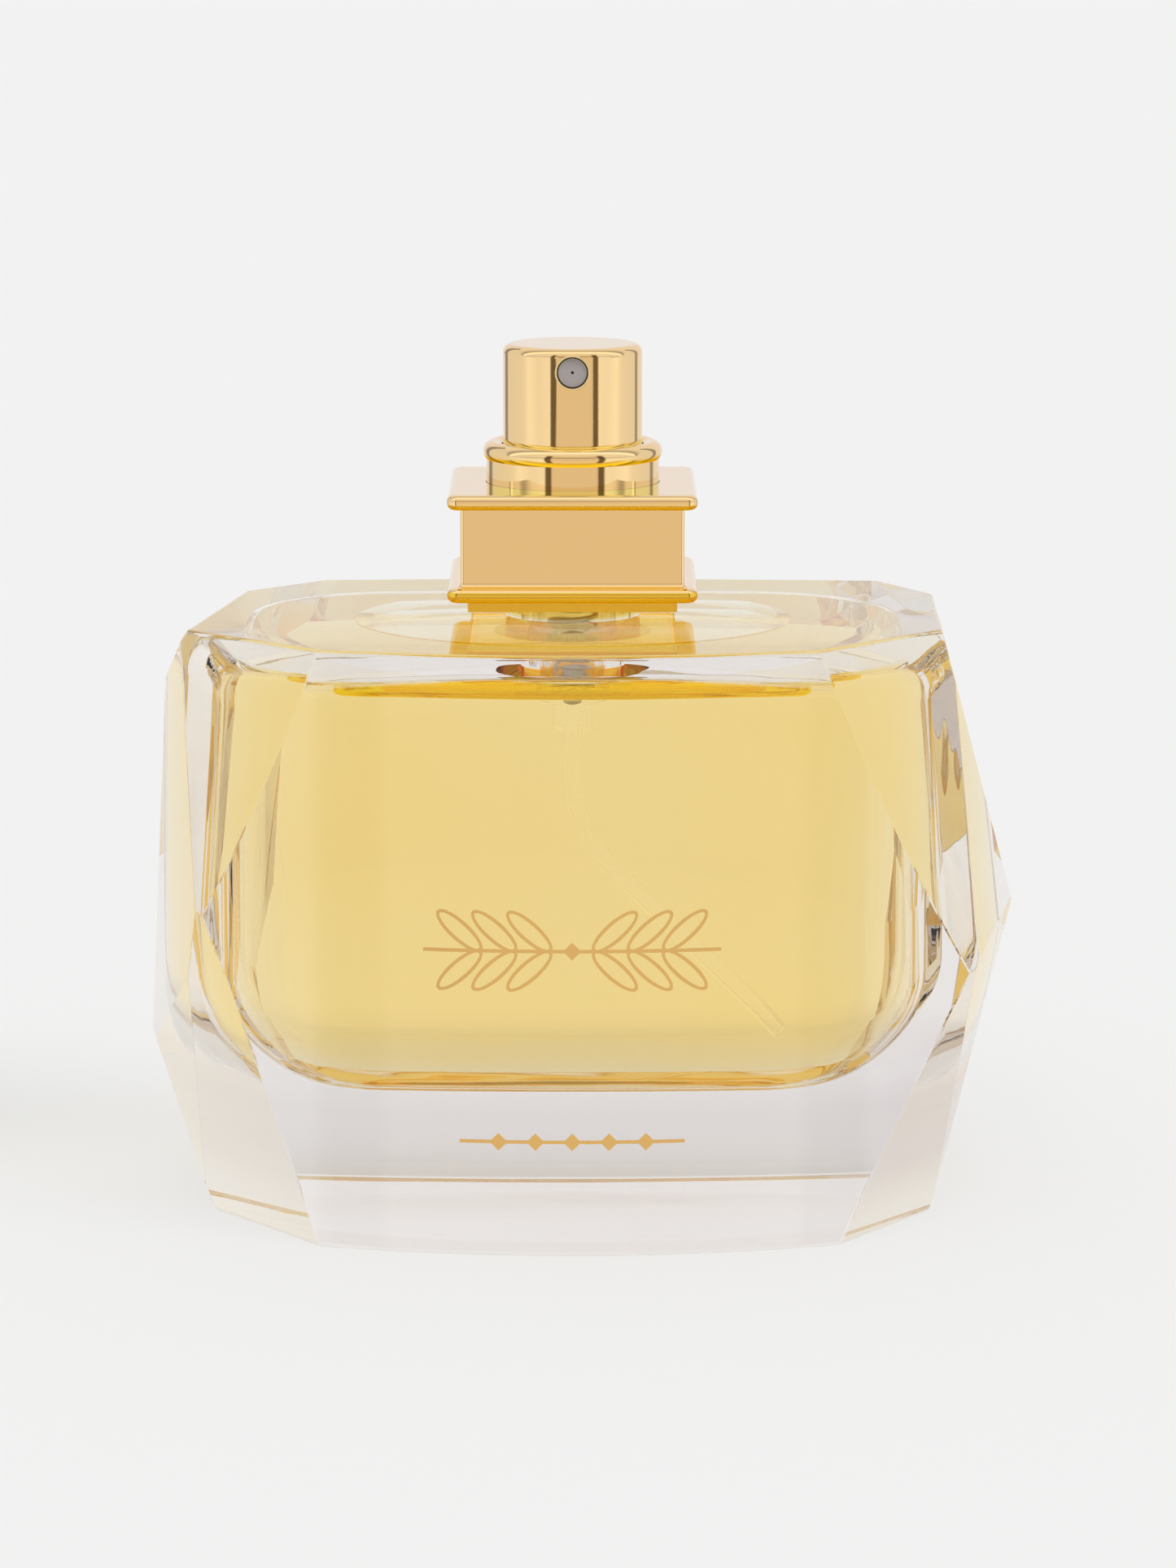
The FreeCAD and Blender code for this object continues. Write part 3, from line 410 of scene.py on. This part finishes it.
paint(glass_material(), "glass_bottle")
paint(liquid_material(), "perfume")
paint(clear_plastic("clear_plastic", 1.035), "pump_housing", "dip_tube")
paint(metal("gold_anodised", GOLD_FACE, GOLD_EDGE, 0.05, lacquer=0.8, painted_yellow_light=GOLD_PAINTED_LIGHT),
      "ring_cover", "actuator_shell", "square_collar")
paint(metal("gold_satin", (0.90, 0.62, 0.16), GOLD_FACE, 0.22, brushed=DRAWN, painted_yellow_light=GOLD_PAINTED_LIGHT),
      "crimp_ferrule")
paint(metal("gold_foil", (0.86, 0.58, 0.22), (0.95, 0.85, 0.7), 0.28, relief=0.004 * MM),
      "sprig_print", "base_print")
paint(metal("steel", (0.56, 0.56, 0.57), (0.9, 0.9, 0.9), 0.16), "inlet_ball")
paint(plastic("white_plastic", (0.82, 0.82, 0.79), 0.32),
      "pump_turret", "piston", "piston_rod", "pump_stem")
paint(plastic("amber_plastic", (0.62, 0.42, 0.09), 0.35, glow=(0.42, 0.27, 0.045)),
      "collar_liner")
paint(core_plastic(), "actuator_core")
paint(plastic("grey_plastic", (0.40, 0.36, 0.35), 0.36), "spray_insert")
paint(plastic("black_rubber", (0.03, 0.03, 0.032), 0.6, glow=(0.40, 0.33, 0.05)),
      "neck_gasket", "stem_seal")


# ---------------------------------------------------------------- tubes in mesh code
def circle(steps):
    """Angles of the points of one ring."""
    return [2 * math.pi * step / steps for step in range(steps)]


def tube_mesh(name, rings, closed):
    """Mesh of a tube through rings of points, joined end to end or capped."""
    bm = bmesh.new()
    loops = [[bm.verts.new(point) for point in ring] for ring in rings]
    pairs = list(zip(loops, loops[1:])) + ([(loops[-1], loops[0])] if closed else [])
    for ring, after in pairs:
        for k in range(len(ring)):
            n = (k + 1) % len(ring)
            bm.faces.new((ring[k], ring[n], after[n], after[k]))
    if not closed:
        bm.faces.new(reversed(loops[0]))
        bm.faces.new(loops[-1])
    bmesh.ops.recalc_face_normals(bm, faces=bm.faces)
    mesh = bpy.data.meshes.new(name)
    bm.to_mesh(mesh)
    bm.free()
    mesh.shade_smooth()
    obj = bpy.data.objects.new(name, mesh)
    scene.collection.objects.link(obj)
    return obj


def window_rim(radius=1.66 * MM, bead=0.1 * MM, sunk=0.02 * MM):
    """Rolled edge of the window in the shell that the spray insert looks out of."""
    rings = []
    for a in circle(96):
        x, rise = radius * math.cos(a), radius * math.sin(a)
        out = Vector((x, -math.sqrt(CAP_RADIUS ** 2 - x * x), 0)) / CAP_RADIUS
        side = (Vector((-out.y, out.x, 0)) * math.cos(a) + Vector((0, 0, math.sin(a)))).normalized()
        centre = out * (CAP_RADIUS - sunk) + Vector((0, 0, NOZZLE[2] + rise))
        rings.append([centre + (side * math.cos(b) + out * math.sin(b)) * bead
                      for b in circle(12)])
    rim = tube_mesh("window_rim", rings, closed=True)
    rim.data.materials.append(bpy.data.materials["gold_anodised"])
    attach(rim, "actuator")


def coil_spring(name, node, turns, wire, steps=40):
    """Round wire wound up the pump axis inside the box of the CAD spring that it replaces."""
    lo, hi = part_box(node)
    mean = (hi.x - lo.x) / 2 - wire
    bottom, rise = lo.z + wire, hi.z - lo.z - 2 * wire
    rings = []
    count = int(turns * steps)
    for i in range(count + 1):
        share = i / count
        turn = 2 * math.pi * turns * share
        out = Vector((math.cos(turn), math.sin(turn), 0))
        centre = out * mean + Vector((0, 0, bottom + rise * share))
        rings.append([centre + out * (wire * math.cos(a)) + Vector((0, 0, wire * math.sin(a)))
                      for a in circle(12)])
    obj = tube_mesh(name, rings, closed=False)
    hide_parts(node)
    obj.data.materials.append(bpy.data.materials["steel"])
    return obj


def shorten(spring):
    """Gives the spring a mesh of its own."""
    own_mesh(spring)


def return_coil():
    """Main spring: it stays with the bottle, its foot on the housing."""
    spring = coil_spring("return_coil", "return_spring", turns=4.5, wire=0.25 * MM)
    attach(spring, "bottle")
    shorten(spring)


def precompression_coil():
    """Small spring, carried by the plunger with its top on the stem."""
    spring = coil_spring("precompression_coil", "precompression_spring", turns=3.5, wire=0.18 * MM)
    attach(spring, "plunger")
    shorten(spring)


window_rim()
return_coil()
precompression_coil()


# ---------------------------------------------------------------- studio
def seamless_floor(gap=0.02 * MM):
    """Wide sheet of white paper just under the foot."""
    bpy.ops.mesh.primitive_plane_add(size=24, location=(0, 0, -gap))
    floor = bpy.context.object
    floor.name = "floor"
    mat, t = new_tree("paper_sweep")
    grain = t.noise(300, 2.0)
    color = t.tint(grain, (0.868, 0.868, 0.866, 1), (0.872, 0.872, 0.871, 1))
    t.surface(t.add("BsdfDiffuse", {"Color": color}).outputs[0])
    floor.data.materials.append(mat)
    floor.visible_glossy = False


def sky_angle(tree, toward, front):
    """Angle in the plane of two directions: 0.5 at the front, 0 and 1 behind."""
    return tree.maths("MULTIPLY_ADD", tree.maths("ARCTAN2", toward, front), 0.5 / math.pi, 0.5)


def sky_ramp(tree, angle, stops):
    """Brightness by degrees from the front."""
    return tree.ramp(angle, [(0.5 + degrees / 360, light) for degrees, light in stops])


def studio_world():
    """Even bright surround. Mirror finishes see soft panels parted by thin dark gaps."""
    world = bpy.data.worlds.new("studio")
    scene.world = world
    world.use_nodes = True
    t = Tree(world.node_tree)
    way = t.add("TexCoord").outputs["Generated"]
    x, y, z = t.parts(way)
    front = t.maths("MULTIPLY", y, -1.0)

    room, gap = (0.80, 0.715, 0.61), (0.17, 0.13, 0.085)
    panels = sky_ramp(t, sky_angle(t, x, front), [
        (-180, 0.92), (-152, 0.92), (-146, 0.35), (-138, 0.30), (-133, 0.86), (-60, 0.92),
        (-37.5, 1.0), (-36, gap), (-29, gap), (-27, room), (33, room), (35, gap), (42, gap),
        (44, 1.0), (70, 0.93), (124, 0.88), (128, 0.35), (133, 0.35), (138, 0.92), (180, 0.92)])
    heights = sky_ramp(t, sky_angle(t, z, front), [
        (-180, 0.95), (-60, 1.0), (-24, 1.15), (-15, 1.08), (-12, 1.0), (13, 1.0), (17, 0.5),
        (21, 0.5), (27, 0.95), (62, 0.92), (70, 1.3), (88, 1.3), (95, 0.6), (106, 0.42),
        (111, 0.78), (125, 0.95), (180, 0.95)])
    # the panels stand upright, and the ceiling over them is plain
    upright = t.maths("LESS_THAN", t.maths("ABSOLUTE", z), 0.62)
    mirrored = t.times(t.tint(upright, (0.95, 0.93, 0.90, 1), panels), heights)

    # clear pieces see slow changes of tone, a little warmer to the sides
    drift = t.add("TexNoise", {"Vector": way, "Scale": 1.3, "Detail": 1.0})
    seen = t.tint(drift.outputs["Fac"], (0.80, 0.79, 0.82, 1), (1.0, 1.0, 0.98, 1))
    aside = t.rise(t.maths("ABSOLUTE", x), 0.25, 0.75)
    seen = t.times(seen, t.tint(aside, WHITE, (1.0, 0.95, 0.80, 1)))

    path = t.add("LightPath").outputs
    reflected = t.maths("SUBTRACT", path["Is Glossy Ray"], path["Is Transmission Ray"])
    color = t.tint(path["Is Transmission Ray"], (SKY, SKY, SKY, 1), seen)
    color = t.tint(t.maths("MAXIMUM", reflected, 0.0), color, mirrored)
    color = t.tint(path["Is Camera Ray"], color, (PAPER, PAPER, PAPER, 1))
    background = t.add("Background", {"Color": color, "Strength": 1.0})
    t.add("OutputWorld", {"Surface": background.outputs[0]})
    world.cycles.sampling_method = "NONE"


def soft_sun(name, azimuth, elevation, spread, share):
    """Distant soft light; share is the brightness it adds to a white floor."""
    data = bpy.data.lights.new(name, "SUN")
    data.angle = math.radians(spread)
    data.energy = share * math.pi / math.sin(math.radians(elevation))
    light = bpy.data.objects.new(name, data)
    turn, rise = math.radians(azimuth), math.radians(elevation)
    level = Vector((math.sin(turn), -math.cos(turn), 0))
    source = level * math.cos(rise) + Vector((0, 0, math.sin(rise)))
    light.rotation_euler = source.to_track_quat("Z", "Y").to_euler()
    light.visible_glossy = False
    light.visible_transmission = False
    scene.collection.objects.link(light)


seamless_floor()
studio_world()
soft_sun("front_light", azimuth=-8, elevation=62, spread=50, share=0.30)
soft_sun("side_light", azimuth=62, elevation=36, spread=26, share=0.175)


# ---------------------------------------------------------------- camera
def add_camera(place, look_down, lens):
    """Camera in front of the bottle, looking down by some degrees."""
    data = bpy.data.cameras.new("camera")
    data.lens, data.sensor_width, data.clip_start = lens, 36, 10 * MM
    camera = bpy.data.objects.new("camera", data)
    camera.location = place
    camera.rotation_euler = (math.radians(90 - look_down), 0, 0)
    scene.collection.objects.link(camera)
    scene.camera = camera


def long_light_paths():
    """Enough bounces for light to find its way through the facets, with few bright specks."""
    cycles = scene.cycles
    cycles.max_bounces = 24
    cycles.transmission_bounces = 24
    cycles.glossy_bounces = 12
    cycles.diffuse_bounces = 4
    cycles.transparent_max_bounces = 32
    cycles.sample_clamp_indirect = 4.0
    scene.view_settings.view_transform = "Standard"


add_camera((1.542 * MM, -600 * MM, 147.54 * MM), look_down=9.984, lens=137.8)
long_light_paths()
